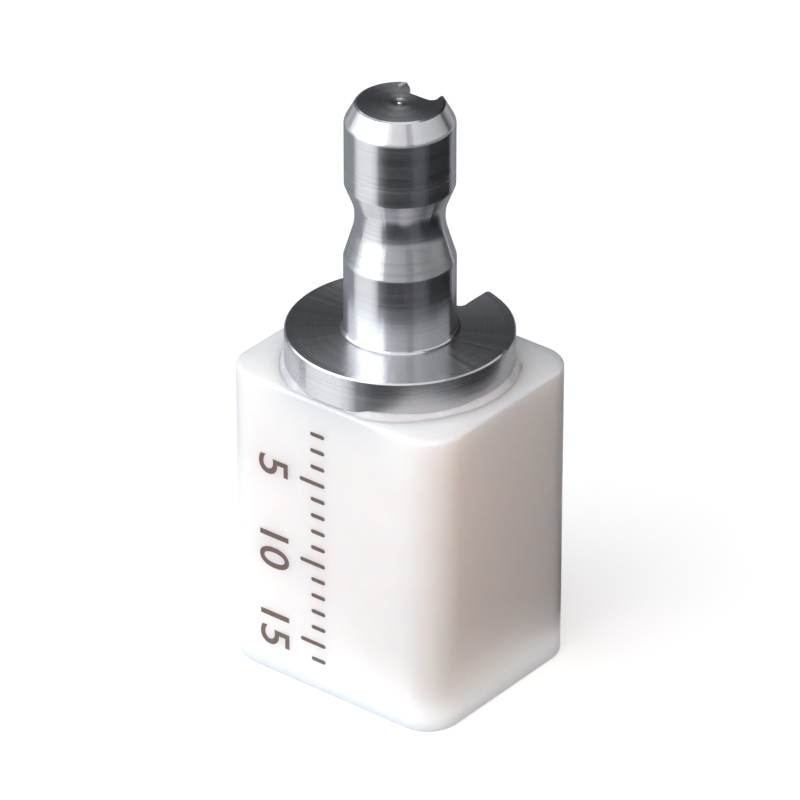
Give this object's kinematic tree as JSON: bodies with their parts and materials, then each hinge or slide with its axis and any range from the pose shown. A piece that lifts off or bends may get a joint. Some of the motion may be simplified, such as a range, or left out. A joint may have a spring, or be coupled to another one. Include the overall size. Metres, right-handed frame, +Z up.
{
  "type": "dental milling block",
  "caption": "Rounded block of white dental ceramic bonded under the flange of a turned steel mandrel with a waisted shank, clamped in a milling machine.",
  "frame": {"origin": "centre of the ceramic block's bottom face, on the mandrel's axis", "axes": "+Z up the mandrel's axis, away from the ceramic block; X along the block's long side; both of the mandrel's notches face +Y"},
  "size_m": [0.0144, 0.0124, 0.0335],
  "materials": {
    "ceramic": "fine ground satin, slightly translucent",
    "cement": "cured clear bonding cement",
    "steel": "turned, with fine marks round the axis"
  },
  "bodies": {
    "root": {"ceramic_block": "ceramic", "adhesive_layer": "cement", "mandrel": "steel"}
  },
  "joints": []
}
